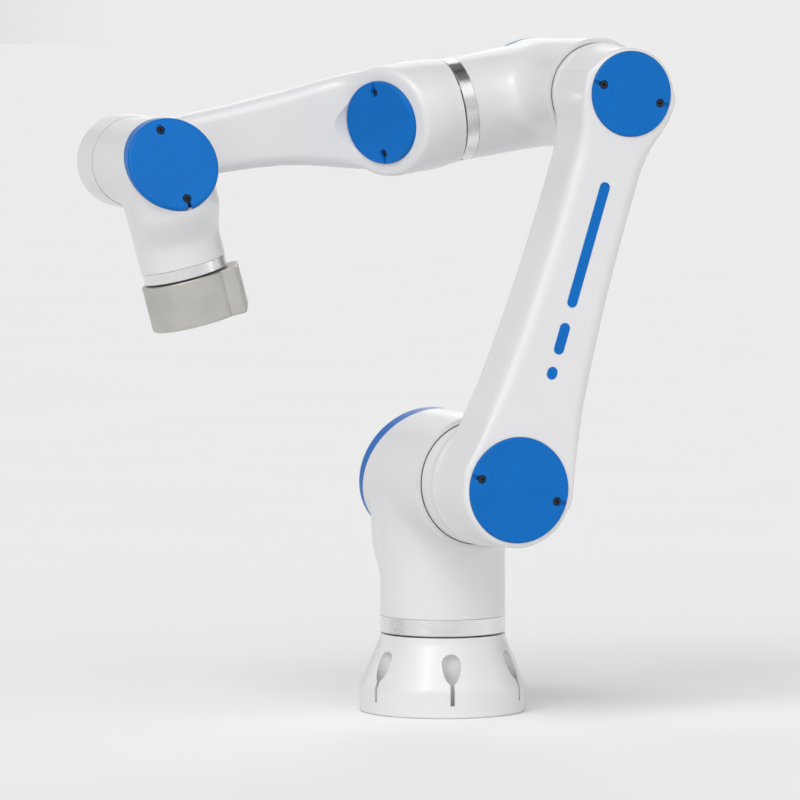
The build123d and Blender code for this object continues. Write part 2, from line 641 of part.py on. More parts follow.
def save_shoulder():
    place = SHOULDER_FRAME.location
    ring_low = BASE_TOP + JOINT_GAP - SHOULDER_HEIGHT
    leg_end = ring_low + RING_WIDTH
    bore = BASE_NECK_R - WALL
    body = module_casting(SHOULDER_R, SHOULDER_SEAM_Y + JOINT_GAP / 2, SHOULDER_SPLIT,
                          BASE_NECK_R, BASE_NECK_R, leg_end, -100)
    web = disc(bore, leg_end, leg_end + WEB) - Pos(0, 0, leg_end) * hub_web_holes(bore)
    save("shoulder_casting", place * (body + web))
    save("j1_trim_ring", place * trim_ring(BASE_NECK_R + 0.2, bore - 1, ring_low, leg_end))
    save_module_cover("shoulder", place, SHOULDER_R, SHOULDER_SPLIT, 4.5, 3.0)
    driver = place * Pos(0, SHOULDER_SEAM_Y + JOINT_GAP / 2, 0) * Rot(90, 0, 0)
    save("j2_seal", driver * seal(SHOULDER_R - WALL - 0.3))
    save_drive("j2", driver, SHOULDER_R - WALL, 92, HUB_RISE)


def save_upper_arm():
    place = UPPER_ARM_FRAME.location
    save("upper_arm_casting", place * upper_arm_casting())
    save("upper_arm_shoulder_cover", place * arm_cover(0))
    save("upper_arm_elbow_cover", place * arm_cover(1))
    save("upper_arm_cover_screws", place * arm_cover_screws())


def save_elbow():
    place = ELBOW_FRAME.location
    ring_end = J4_SEAM - JOINT_GAP / 2
    ring_start = ring_end - 12.5
    body = module_casting(ELBOW_R, ELBOW_SEAM_Y + JOINT_GAP / 2, ELBOW_SPLIT,
                          ELBOW_LEG_R, ELBOW_LEG_R + 2, -ring_start, -78)
    save("elbow_casting", place * body)
    bore = ELBOW_LEG_R - WALL
    save("j4_trim_ring", place * trim_ring(ELBOW_LEG_R - 0.2, bore, -ring_end, -ring_start))
    save_module_cover("elbow", place, ELBOW_R, ELBOW_SPLIT, 4.5, 3.0)
    driver = place * Pos(0, ELBOW_SEAM_Y + JOINT_GAP / 2, 0) * Rot(90, 0, 0)
    save("j3_seal", driver * seal(ELBOW_R - WALL - 0.3))
    save_drive("j3", driver, ELBOW_R - WALL, 76, HUB_RISE)
    save_drive("j4", place * Pos(0, 0, -ring_end) * Rot(180, 0, 0), bore, 66, HUB_RISE)


def save_forearm():
    place = FOREARM_FRAME.location
    save("forearm_casting", place * forearm_casting())
    face = FOREARM_SPLIT + 4.0
    radius = FOREARM_COVER_R
    tilt = FOREARM_SPLIT_TILT
    seat = FOREARM_SPLIT - 2
    save("forearm_cover", place * cover(radius, seat, tilt, face, tilt, False, 2.0))
    save("forearm_cover_screws", place * cover_screws(radius, seat, tilt, face, tilt, False))
    save("forearm_end_cover", place * end_cover())


def save_wrist():
    place = WRIST_FRAME.location
    ring_end = J6_SEAM - JOINT_GAP / 2
    ring_start = ring_end - 11.0
    body = module_casting(WRIST_R, -WRIST_SEAM + JOINT_GAP / 2, WRIST_SPLIT,
                          WRIST_LEG_R, WRIST_LEG_R + 0.6, -ring_start, -78)
    save("wrist_casting", place * body)
    bore = WRIST_LEG_R - WALL
    save("j6_trim_ring", place * trim_ring(WRIST_LEG_R - 0.4, bore, -ring_end, -ring_start))
    save_module_cover("wrist", place, WRIST_R, WRIST_SPLIT, 4.5, 3.0)
    driver = place * Pos(0, -WRIST_SEAM + JOINT_GAP / 2, 0) * Rot(90, 0, 0)
    save("j5_seal", driver * seal(WRIST_R - WALL - 0.3))
    save_drive("j5", driver, WRIST_R - WALL, 60, HUB_RISE)
    save_drive("j6", place * Pos(0, 0, -ring_end) * Rot(180, 0, 0), bore, 56, HUB_RISE)


def save_tool():
    place = WRIST_FRAME.location * Pos(0, 0, -J6_SEAM - JOINT_GAP / 2) * Rot(180, 0, 0)
    save("tool_flange", place * tool_flange())
    save("tool_connector", place * tool_connector())


save_base()
save_shoulder()
save_upper_arm()
save_elbow()
save_forearm()
save_wrist()
save_tool()
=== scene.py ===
"""Looks of a six-axis collaborative robot arm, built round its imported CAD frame.

Metres, +Z up. The frame's joints give every axis, and the frame's nodes every size.
"""

import json
import math

import bmesh
import bpy
import numpy as np
from mathutils import Matrix, Vector

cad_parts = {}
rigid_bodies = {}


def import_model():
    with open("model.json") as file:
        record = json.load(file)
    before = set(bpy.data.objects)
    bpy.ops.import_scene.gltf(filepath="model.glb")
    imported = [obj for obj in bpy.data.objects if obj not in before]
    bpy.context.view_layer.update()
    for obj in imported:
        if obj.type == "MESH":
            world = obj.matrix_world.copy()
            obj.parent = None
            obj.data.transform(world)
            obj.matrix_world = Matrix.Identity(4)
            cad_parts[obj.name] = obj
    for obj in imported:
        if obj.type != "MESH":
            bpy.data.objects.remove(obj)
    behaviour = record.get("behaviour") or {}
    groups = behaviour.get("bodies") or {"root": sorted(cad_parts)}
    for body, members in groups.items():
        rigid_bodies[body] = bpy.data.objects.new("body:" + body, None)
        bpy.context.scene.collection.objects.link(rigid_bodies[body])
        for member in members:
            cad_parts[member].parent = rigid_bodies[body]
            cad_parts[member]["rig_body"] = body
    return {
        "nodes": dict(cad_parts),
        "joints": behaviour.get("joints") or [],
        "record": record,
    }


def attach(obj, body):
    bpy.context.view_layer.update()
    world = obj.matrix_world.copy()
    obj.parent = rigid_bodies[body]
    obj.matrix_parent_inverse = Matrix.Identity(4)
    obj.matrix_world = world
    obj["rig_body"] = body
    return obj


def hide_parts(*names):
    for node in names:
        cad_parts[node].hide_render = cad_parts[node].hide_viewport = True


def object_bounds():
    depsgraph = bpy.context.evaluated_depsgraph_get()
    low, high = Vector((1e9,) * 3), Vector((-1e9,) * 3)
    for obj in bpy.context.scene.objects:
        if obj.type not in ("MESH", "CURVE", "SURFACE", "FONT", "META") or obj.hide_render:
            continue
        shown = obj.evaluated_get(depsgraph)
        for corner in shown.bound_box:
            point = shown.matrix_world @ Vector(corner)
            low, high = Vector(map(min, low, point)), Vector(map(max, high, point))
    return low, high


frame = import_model()
cad_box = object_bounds()
nodes = frame["nodes"]
joints = {j["name"]: j for j in frame["joints"]}


# ---- places, from the frame's joints ------------------------------------------------
def joint_line(name):
    """Point on a joint's axis and the axis direction."""
    joint = joints[name]
    return Vector(joint["pos_m"]), Vector(joint["axis"]).normalized()


SHOULDER, Y_AXIS = joint_line("j2_shoulder")
ELBOW, _ = joint_line("j3_elbow")
WRIST, _ = joint_line("j5_wrist")
UP = Vector((0, 0, 1))
ARM_DIR = (ELBOW - SHOULDER).normalized()
FOREARM_DIR = (WRIST - ELBOW).normalized()
TOOL_DIR = joint_line("j6_tool")[1]
if TOOL_DIR.z > 0:
    TOOL_DIR = -TOOL_DIR


def axes_matrix(origin, z_dir, x_hint=Vector((0, 1, 0))):
    """Matrix of a frame at origin whose Z is z_dir and whose X is near x_hint."""
    z_dir = z_dir.normalized()
    x_dir = (x_hint - z_dir * x_hint.dot(z_dir)).normalized()
    y_dir = z_dir.cross(x_dir)
    turn = Matrix((x_dir, y_dir, z_dir)).transposed()
    return Matrix.Translation(origin) @ turn.to_4x4()


def link_frame(origin, y_dir, z_dir):
    """A link's own frame, given by its origin and the directions of its Y and Z."""
    x_dir = y_dir.cross(z_dir).normalized()
    turn = Matrix((x_dir, y_dir.normalized(), z_dir.normalized())).transposed()
    return Matrix.Translation(origin) @ turn.to_4x4()


def in_frame(node, place):
    """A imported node's vertices in a link's own frame, one row each."""
    mesh = nodes[node].data
    flat = np.empty(len(mesh.vertices) * 3)
    mesh.vertices.foreach_get("co", flat)
    inverse = np.array(place.inverted())
    return flat.reshape(-1, 3) @ inverse[:3, :3].T + inverse[:3, 3]


SHOULDER_PLACE = link_frame(SHOULDER, Y_AXIS, UP)
ARM_PLACE = link_frame(SHOULDER, Y_AXIS, ARM_DIR)
ELBOW_PLACE = link_frame(ELBOW, Y_AXIS, -FOREARM_DIR)
FOREARM_PLACE = link_frame(ELBOW, FOREARM_DIR, -Y_AXIS)
WRIST_PLACE = link_frame(WRIST, -Y_AXIS, -TOOL_DIR)


# ---- node-tree helpers --------------------------------------------------------------
EDGE_WEAR_AND_HIGHLIGHT = 0.0008         # how far the edge mask reaches: wear on most finishes, a painted highlight on moulded plastic
ENAMEL_ROUGHNESS = 0.33    # base coat; the clear coat on it is much glossier


class Graph:
    """A material's node tree with short calls for the nodes used here."""

    def __init__(self, name):
        self.material = bpy.data.materials.new(name)
        self.material.use_nodes = True
        self.tree = self.material.node_tree
        self.shader = self.tree.nodes["Principled BSDF"]
        self.place = self.add("ShaderNodeTexCoord").outputs["Object"]

    def add(self, kind, **settings):
        node = self.tree.nodes.new(kind)
        for key, value in settings.items():
            setattr(node, key, value)
        return node

    def join(self, output, socket):
        self.tree.links.new(output, socket)

    def noise(self, scale, detail=3.0, roughness=0.5, vector=None):
        node = self.add("ShaderNodeTexNoise")
        node.inputs["Scale"].default_value = scale
        node.inputs["Detail"].default_value = detail
        node.inputs["Roughness"].default_value = roughness
        self.join(vector or self.place, node.inputs["Vector"])
        return node.outputs["Fac"]

    def scaled(self, value, from_low, from_high, to_low, to_high):
        node = self.add("ShaderNodeMapRange")
        self.join(value, node.inputs["Value"])
        for socket, number in zip(("From Min", "From Max", "To Min", "To Max"),
                                  (from_low, from_high, to_low, to_high)):
            node.inputs[socket].default_value = number
        return node.outputs["Result"]

    def math(self, operation, a, b):
        node = self.add("ShaderNodeMath", operation=operation)
        for socket, item in zip(node.inputs, (a, b)):
            if isinstance(item, (int, float)):
                socket.default_value = item
            else:
                self.join(item, socket)
        return node.outputs["Value"]

    def colours(self, factor, low, high):
        """Mix of two linear colours by a factor."""
        node = self.add("ShaderNodeMix", data_type="RGBA")
        self.join(factor, node.inputs["Factor"])
        colour_a, colour_b = [s for s in node.inputs if s.type == "RGBA"][:2]
        colour_a.default_value = (*low, 1)
        colour_b.default_value = (*high, 1)
        return [s for s in node.outputs if s.type == "RGBA"][0]

    def bumps(self, *layers):
        """Chain of bump nodes; each layer is (height, strength, distance)."""
        normal = None
        for height, strength, distance in layers:
            node = self.add("ShaderNodeBump")
            node.inputs["Strength"].default_value = strength
            node.inputs["Distance"].default_value = distance
            self.join(height, node.inputs["Height"])
            if normal is not None:
                self.join(normal, node.inputs["Normal"])
            normal = node.outputs["Normal"]
        self.join(normal, self.shader.inputs["Normal"])

    def edges(self):
        """About 0 on flats, towards 1 on edges: the mask of edge wear, and of the painted highlight
        on moulded plastic.
        """
        rounded = self.add("ShaderNodeBevel", samples=4)
        rounded.inputs["Radius"].default_value = EDGE_WEAR_AND_HIGHLIGHT
        geometry = self.add("ShaderNodeNewGeometry")
        dot = self.add("ShaderNodeVectorMath", operation="DOT_PRODUCT")
        self.join(rounded.outputs["Normal"], dot.inputs[0])
        self.join(geometry.outputs["Normal"], dot.inputs[1])
        return self.scaled(dot.outputs["Value"], 0.995, 0.93, 0.0, 1.0)

    def round_axis(self, matrix):
        """Coordinates in a turned part's own frame: its axis is Z."""
        mapping = self.add("ShaderNodeMapping", vector_type="POINT")
        inverse = matrix.inverted()
        mapping.inputs["Location"].default_value = inverse.to_translation()
        mapping.inputs["Rotation"].default_value = inverse.to_euler()
        self.join(self.place, mapping.inputs["Vector"])
        return mapping.outputs["Vector"]

    def lathe_lines(self, matrix):
        """Coordinates that change with radius and height but not round the axis."""
        split = self.add("ShaderNodeSeparateXYZ")
        self.join(self.round_axis(matrix), split.inputs["Vector"])
        radius = self.math("SQRT", self.math(
            "ADD", self.math("POWER", split.outputs["X"], 2.0),
            self.math("POWER", split.outputs["Y"], 2.0)), 0.0)
        merged = self.add("ShaderNodeCombineXYZ")
        self.join(radius, merged.inputs["X"])
        self.join(split.outputs["Z"], merged.inputs["Z"])
        angle = self.math("ARCTAN2", split.outputs["Y"], split.outputs["X"])
        self.join(self.math("MULTIPLY", angle, 0.0004), merged.inputs["Y"])
        return merged.outputs["Vector"]

    def set(self, **values):
        for key, value in values.items():
            self.shader.inputs[key.replace("_", " ")].default_value = value


# ---- materials ----------------------------------------------------------------------
def enamel(name, base, shade, rough=ENAMEL_ROUGHNESS):
    """Sprayed gloss enamel: faint orange peel, uneven gloss, dulled edges."""
    g = Graph(name)
    broad = g.noise(9.0, 2.0)
    fine = g.noise(240.0, 3.0, 0.6)
    edge_wear_and_highlight = g.math("MULTIPLY", g.edges(), g.scaled(g.noise(70.0, 4.0), 0.45, 0.7, 0.0, 1.0))
    tint = g.colours(g.scaled(broad, 0.3, 0.7, 0.0, 1.0), base, shade)
    mixed = g.add("ShaderNodeMix", data_type="RGBA")
    g.join(g.math("MULTIPLY", edge_wear_and_highlight, 0.35), mixed.inputs["Factor"])
    first, second = [s for s in mixed.inputs if s.type == "RGBA"][:2]
    g.join(tint, first)
    second.default_value = (*(0.8 * c for c in shade), 1)
    g.join([s for s in mixed.outputs if s.type == "RGBA"][0], g.shader.inputs["Base Color"])
    gloss = g.math("ADD", g.scaled(broad, 0.3, 0.7, rough - 0.03, rough + 0.04),
                   g.scaled(fine, 0.3, 0.7, -0.006, 0.008))
    g.join(g.math("ADD", gloss, g.math("MULTIPLY", edge_wear_and_highlight, 0.15)), g.shader.inputs["Roughness"])
    g.bumps((g.noise(160.0, 1.0), 0.01, 0.0002))
    g.set(Coat_Weight=0.35, Coat_Roughness=0.12, Specular_IOR_Level=0.5)
    return g.material


def moulded_plastic(name, base, shade, rough=0.33):
    """Injection-moulded plastic: spark-eroded grain, slight flow marks, and a painted highlight
    along its edges.
    """
    g = Graph(name)
    flow = g.noise(26.0, 3.0)
    grain = g.noise(1500.0, 2.0, 0.6)
    edge_wear_and_highlight = g.edges()
    tint = g.colours(g.scaled(flow, 0.3, 0.7, 0.0, 1.0), base, shade)
    # Edges are mixed towards a lighter colour: a painted highlight along the rims.
    mixed = g.add("ShaderNodeMix", data_type="RGBA")
    g.join(g.math("MULTIPLY", edge_wear_and_highlight, 0.25), mixed.inputs["Factor"])
    first, second = [s for s in mixed.inputs if s.type == "RGBA"][:2]
    g.join(tint, first)
    # Colour of the painted edge highlight, brighter than the base.
    second.default_value = (*(min(1.0, 1.5 * c + 0.03) for c in base), 1)
    g.join([s for s in mixed.outputs if s.type == "RGBA"][0], g.shader.inputs["Base Color"])
    g.join(g.math("ADD", g.scaled(flow, 0.3, 0.7, rough - 0.04, rough + 0.05),
                  g.scaled(grain, 0.3, 0.7, -0.03, 0.03)), g.shader.inputs["Roughness"])
    g.bumps((grain, 0.10, 0.00012), (flow, 0.05, 0.0006))
    g.set(Specular_IOR_Level=0.15)
    return g.material


def turned_metal(name, matrix, base, shade, rough, anisotropy=0.5, lines=5200.0, depth=0.25):
    """Lathe-turned metal with fine rings round its axis."""
    g = Graph(name)
    place = g.lathe_lines(matrix)
    fine = g.noise(lines, 3.0, 0.7, place)
    broad = g.noise(30.0, 3.0)
    smudge = g.noise(55.0, 4.0, 0.65)
    tint = g.colours(g.math("ADD", g.math("MULTIPLY", fine, 0.6),
                            g.math("MULTIPLY", broad, 0.4)), base, shade)
    g.join(tint, g.shader.inputs["Base Color"])
    g.join(g.math("ADD", g.scaled(fine, 0.3, 0.7, rough - 0.05, rough + 0.05),
                  g.scaled(smudge, 0.4, 0.75, 0.0, 0.10)), g.shader.inputs["Roughness"])
    g.bumps((fine, depth, 0.00008))
    g.set(Metallic=1.0, Anisotropic=anisotropy)
    return g.material


def blasted_metal(name, base, shade, rough=0.45):
    """Bead-blasted anodised aluminium."""
    g = Graph(name)
    grain = g.noise(2100.0, 2.0, 0.7)
    broad = g.noise(40.0, 3.0)
    edge_wear_and_highlight = g.edges()
    tint = g.colours(g.scaled(broad, 0.3, 0.7, 0.0, 1.0), base, shade)
    mixed = g.add("ShaderNodeMix", data_type="RGBA")
    g.join(g.math("MULTIPLY", edge_wear_and_highlight, 0.5), mixed.inputs["Factor"])
    first, second = [s for s in mixed.inputs if s.type == "RGBA"][:2]
    g.join(tint, first)
    second.default_value = (0.85, 0.84, 0.82, 1)
    g.join([s for s in mixed.outputs if s.type == "RGBA"][0], g.shader.inputs["Base Color"])
    g.join(g.math("ADD", g.scaled(grain, 0.3, 0.7, rough - 0.06, rough + 0.08),
                  g.math("MULTIPLY", edge_wear_and_highlight, -0.15)), g.shader.inputs["Roughness"])
    g.bumps((grain, 0.25, 0.0001))
    g.set(Metallic=0.75)
    return g.material


def soft_rubber(name, base, dusty):
    """Seal rubber with a fine matt skin."""
    g = Graph(name)
    grain = g.noise(1400.0, 3.0)
    dust = g.noise(90.0, 4.0, 0.7)
    g.join(g.colours(g.scaled(dust, 0.45, 0.75, 0.0, 1.0), base, dusty),
           g.shader.inputs["Base Color"])
    g.join(g.scaled(grain, 0.3, 0.7, 0.55, 0.75), g.shader.inputs["Roughness"])
    g.bumps((grain, 0.2, 0.0001))
    return g.material


def circuit_board(name):
    """Solder-masked board with a copper pattern showing through."""
    g = Graph(name)
    tracks = g.add("ShaderNodeTexVoronoi", feature="DISTANCE_TO_EDGE")
    tracks.inputs["Scale"].default_value = 240.0
    g.join(g.place, tracks.inputs["Vector"])
    line = g.scaled(tracks.outputs["Distance"], 0.03, 0.06, 1.0, 0.0)
    g.join(g.colours(line, (0.008, 0.07, 0.025), (0.03, 0.16, 0.06)),
           g.shader.inputs["Base Color"])
    g.join(g.scaled(line, 0.0, 1.0, 0.32, 0.22), g.shader.inputs["Roughness"])
    g.bumps((line, 0.3, 0.0001))
    return g.material


def copper_winding(name, matrix):
    """Enamelled copper wire wound through stacked steel laminations."""
    g = Graph(name)
    place = g.round_axis(matrix)
    layers = g.add("ShaderNodeTexWave", wave_type="BANDS", bands_direction="Z")
    layers.inputs["Scale"].default_value = 900.0
    layers.inputs["Distortion"].default_value = 0.4
    g.join(place, layers.inputs["Vector"])
    varnish = g.noise(120.0, 3.0)
    g.join(g.colours(layers.outputs["Fac"], (0.42, 0.14, 0.05), (0.75, 0.32, 0.13)),
           g.shader.inputs["Base Color"])
    g.join(g.scaled(varnish, 0.3, 0.7, 0.25, 0.45), g.shader.inputs["Roughness"])
    g.bumps((layers.outputs["Fac"], 0.5, 0.0003))
    g.set(Metallic=0.9)
    return g.material


def brushed_sheet(name, base, shade, rough=0.34):
    """Sheet or plate metal brushed one way."""
    g = Graph(name)
    mapping = g.add("ShaderNodeMapping")
    mapping.inputs["Scale"].default_value = (40.0, 2400.0, 2400.0)
    g.join(g.place, mapping.inputs["Vector"])
    lines = g.noise(1.0, 3.0, 0.6, mapping.outputs["Vector"])
    stain = g.noise(30.0, 3.0)
    g.join(g.colours(lines, base, shade), g.shader.inputs["Base Color"])
    g.join(g.math("ADD", g.scaled(lines, 0.3, 0.7, rough - 0.08, rough + 0.08),
                  g.scaled(stain, 0.4, 0.7, 0.0, 0.06)), g.shader.inputs["Roughness"])
    g.bumps((lines, 0.25, 0.0001))
    g.set(Metallic=1.0)
    return g.material


def screw_steel(name):
    """Black-finished socket screws, rubbed brighter along their edges."""
    g = Graph(name)
    edge_wear_and_highlight = g.edges()
    grain = g.noise(900.0, 3.0)
    g.join(g.colours(edge_wear_and_highlight, (0.022, 0.026, 0.04), (0.12, 0.125, 0.14)),
           g.shader.inputs["Base Color"])
    g.join(g.scaled(grain, 0.3, 0.7, 0.28, 0.45), g.shader.inputs["Roughness"])
    g.bumps((grain, 0.2, 0.0001))
    g.set(Metallic=1.0)
    return g.material


WHITE = (0.72, 0.72, 0.73)
WHITE_SHADE = (0.70, 0.70, 0.71)
BLUE = (0.001, 0.145, 0.51)
BLUE_SHADE = (0.001, 0.130, 0.46)
STEEL = (0.55, 0.56, 0.58)
STEEL_SHADE = (0.42, 0.43, 0.45)
POLISHED = (0.90, 0.90, 0.89)
POLISHED_SHADE = (0.74, 0.74, 0.75)
FLANGE_METAL = (0.56, 0.545, 0.51)
FLANGE_SHADE = (0.50, 0.49, 0.46)
RUBBER = (0.20, 0.20, 0.205)
RUBBER_DUST = (0.28, 0.28, 0.28)

JOINT_FRAMES = {
    "j1": axes_matrix(Vector((0, 0, 0)), UP),
    "j2": axes_matrix(SHOULDER, Y_AXIS, UP),
    "j3": axes_matrix(ELBOW, Y_AXIS, UP),
    "j4": axes_matrix(ELBOW, FOREARM_DIR),
    "j5": axes_matrix(WRIST, Y_AXIS, UP),
    "j6": axes_matrix(WRIST, TOOL_DIR),
}


def shared_materials():
    """One material for each slot that needs no joint axis; the seals' rubber is dusty grey."""
    return {
        "white_enamel": enamel("white_enamel", WHITE, WHITE_SHADE),
        "white_cover": moulded_plastic("white_cover", WHITE, WHITE_SHADE),
        "blue_cover": moulded_plastic("blue_cover", BLUE, BLUE_SHADE),
        "black_rubber": soft_rubber("black_rubber", RUBBER, RUBBER_DUST),
        "satin_flange": blasted_metal("satin_flange", FLANGE_METAL, FLANGE_SHADE),
        "connector_metal": brushed_sheet("connector_metal", (0.62, 0.62, 0.60),
                                         (0.48, 0.48, 0.47), 0.26),
        "plate_metal": brushed_sheet("plate_metal", (0.60, 0.61, 0.62), (0.46, 0.47, 0.48)),
        "circuit_board": circuit_board("circuit_board"),
        "screw_steel": screw_steel("screw_steel"),
    }


def dress(obj, material):
    """Give an object one material."""
    obj.data.materials.clear()
    obj.data.materials.append(material)


def dress_nodes(shared):
    """Give every carried-over node the material of its slot."""
    for row in frame["record"]["subparts"]:
        name, slot = row["node"], row["material_slot"]
        joint = name[:2]
        if slot in shared:
            material = shared[slot]
        elif slot == "polished_ring":
            material = turned_metal(name + "_metal", JOINT_FRAMES[joint], POLISHED,
                                    POLISHED_SHADE, 0.10, 0.0, depth=1.0)
        elif slot == "copper_winding":
            material = copper_winding(name + "_metal", JOINT_FRAMES[joint])
        else:
            material = turned_metal(name + "_metal", JOINT_FRAMES[joint], STEEL, STEEL_SHADE,
                                    0.30, 0.4, 3000.0)
        dress(nodes[name], material)


shared = shared_materials()
dress_nodes(shared)


COVER_TILT = 29.3          # plane where a joint cover meets its casting, degrees
FOREARM_COVER_TILT = 25.6
MODULE_BLEND = 0.040       # reach of the blend between a module's barrel and leg
EDGE_RADIUS = 0.0006
ALL = (0, -10.0, 10.0)     # a cut with no limits
BEAM_DEPTH = 0.0728        # upper arm beam, back face to skin
SEAM_STEP = 0.020          # the elbow seam stands this far behind the shoulder's
HOUSING_FRONT = -0.152     # where the housings run into the beam's skin
HOUSING_FLARE = (0.004, 0.0035)
WAIST_HALF = 0.0342        # half width of the beam at its waist
WAIST_AT = 0.280           # distance of the waist from the shoulder axis
WAIST_CURVE = 0.25         # half width gained with the distance from the waist squared


# ---- shells from distance fields ----------------------------------------------------
def smooth_union(a, b, reach):
    """Least of two distances, blended where they differ by less than reach."""
    share = np.maximum(reach - np.abs(a - b), 0.0) / reach
    return np.minimum(a, b) - share ** 3 * reach / 6.0


def rounded_both(a, b, radius):
    """What lies inside both shapes, with an edge of that radius between them."""
    return (np.minimum(np.maximum(a, b) + radius, 0.0) - radius
            + np.hypot(np.maximum(a + radius, 0.0), np.maximum(b + radius, 0.0)))


def ease(value, low, high):
    """0 below low, 1 above high, and smooth between them."""
    share = np.clip((value - low) / (high - low), 0.0, 1.0)
    return share * share * (3.0 - 2.0 * share)


def settle(points, distance, rounds):
    """Newton steps that bring points onto the surface."""
    reach = 1e-5
    for _ in range(rounds):
        value = distance(points)
        slope = np.empty_like(points)
        for axis in range(3):
            step = np.zeros(3)
            step[axis] = reach
            slope[:, axis] = (distance(points + step) - distance(points - step)) / (2 * reach)
        size = np.maximum((slope ** 2).sum(1), 0.05)
        points = points - slope * (value / size)[:, None]
    return points


def net_faces(inside, index):
    """Quads of four cells round every grid edge whose ends differ."""
    quads = []
    for axis in range(3):
        u, v = (axis + 1) % 3, (axis + 2) % 3
        count = inside.shape[axis]
        first = np.take(inside, range(count - 1), axis)
        second = np.take(inside, range(1, count), axis)
        where = np.argwhere(first != second)
        limit_u, limit_v = inside.shape[u] - 1, inside.shape[v] - 1
        keep = (where[:, u] > 0) & (where[:, v] > 0)
        keep &= (where[:, u] < limit_u) & (where[:, v] < limit_v)
        where = where[keep]
        ring = []
        for du, dv in ((-1, -1), (0, -1), (0, 0), (-1, 0)):
            cell = where.copy()
            cell[:, u] += du
            cell[:, v] += dv
            ring.append(index[tuple(cell.T)])
        ring = np.stack(ring, 1)
        backwards = ~first[tuple(where.T)]
        ring[backwards] = ring[backwards][:, ::-1]
        quads.append(ring)
    return np.concatenate(quads)


def relax(points, quads, distance, rounds):
    """Even out the quads and bring them back onto the surface."""
    edges = np.concatenate([quads[:, [i, (i + 1) % 4]] for i in range(4)])
    ends = np.concatenate([edges, edges[:, ::-1]])
    count = np.bincount(ends[:, 0], minlength=len(points))[:, None]
    for _ in range(rounds):
        total = np.stack([np.bincount(ends[:, 0], points[ends[:, 1], axis], len(points))
                          for axis in range(3)], 1)
        points = points + 0.6 * (total / count - points)
        points = settle(points, distance, 1)
    return points


def surface_net(distance, low, high, step, cuts):
    """Even quad mesh of a distance field's surface, with vertices on the cut planes."""
    axes = [np.arange(a, b + step, step) for a, b in zip(low, high)]
    grid = np.stack(np.meshgrid(*axes, indexing="ij"), -1)
    inside = distance(grid.reshape(-1, 3)).reshape(grid.shape[:3]) < 0
    corners = sum(inside[i:len(axes[0]) - 1 + i, j:len(axes[1]) - 1 + j,
                         k:len(axes[2]) - 1 + k].astype(int)
                  for i in (0, 1) for j in (0, 1) for k in (0, 1))
    mixed = (corners > 0) & (corners < 8)
    index = np.full(mixed.shape, -1)
    index[mixed] = np.arange(mixed.sum())
    points = grid[:-1, :-1, :-1][mixed] + step / 2
    quads = net_faces(inside, index)
    points = settle(points, distance, 6)
    points = relax(points, quads, distance, 8)
    for point, normal, (axis, low_end, high_end) in cuts:
        gap = (points - np.array(point)) @ np.array(normal)
        near = (np.abs(gap) < 0.5 * step) & (points[:, axis] > low_end)
        near &= points[:, axis] < high_end
        for _ in range(5):
            part = points[near]
            part = part - np.outer((part - np.array(point)) @ np.array(normal), normal)
            points[near] = settle(part, distance, 1)
        part = points[near]
        points[near] = part - np.outer((part - np.array(point)) @ np.array(normal), normal)
    return points, quads


def shell(name, node, distance, low, high, cuts, place, cutters=(),
          wall=0.0045, step=0.0025):
    """Smooth hollow casting that stands for a CAD node, open at each cut plane."""
    points, quads = surface_net(distance, low, high, step, cuts)
    mesh = bpy.data.meshes.new(name)
    mesh.from_pydata(points.tolist(), [], quads.tolist())
    builder = bmesh.new()
    builder.from_mesh(mesh)
    for point, normal, (axis, low_end, high_end) in cuts:
        part = [v for v in builder.verts if low_end < v.co[axis] < high_end]
        kept = set(part)
        part += [e for e in builder.edges if kept.issuperset(e.verts)]
        part += [f for f in builder.faces if kept.issuperset(f.verts)]
        bmesh.ops.bisect_plane(builder, geom=part, dist=2e-5, plane_co=point,
                               plane_no=normal, clear_outer=True)
    bmesh.ops.dissolve_degenerate(builder, dist=2e-5, edges=builder.edges[:])
    for face in builder.faces:
        face.smooth = True
    builder.to_mesh(mesh)
    builder.free()
    mesh.transform(place)
    obj = bpy.data.objects.new(name, mesh)
    bpy.context.scene.collection.objects.link(obj)
    finish_shell(obj, wall, cutters)
    return stand_for(obj, node)


def cutter(axis_place, radius, low, high, slant=None):
    """Closed cylinder along Z of axis_place, ended by a slanted plane where one is given."""
    builder = bmesh.new()
    middle = Matrix.Translation((0, 0, (low + high) / 2))
    bmesh.ops.create_cone(builder, cap_ends=True, segments=128, radius1=radius,
                          radius2=radius, depth=high - low, matrix=middle)
    if slant:
        everything = builder.verts[:] + builder.edges[:] + builder.faces[:]
        cut = bmesh.ops.bisect_plane(builder, geom=everything, plane_co=slant[0],
                                     plane_no=slant[1], clear_inner=True)
        rim = [e for e in cut["geom_cut"] if isinstance(e, bmesh.types.BMEdge)]
        bmesh.ops.edgeloop_fill(builder, edges=rim)
    bmesh.ops.recalc_face_normals(builder, faces=builder.faces[:])
    mesh = bpy.data.meshes.new("cutter")
    builder.to_mesh(mesh)
    builder.free()
    mesh.transform(axis_place)
    obj = bpy.data.objects.new("cutter", mesh)
    bpy.context.scene.collection.objects.link(obj)
    return obj


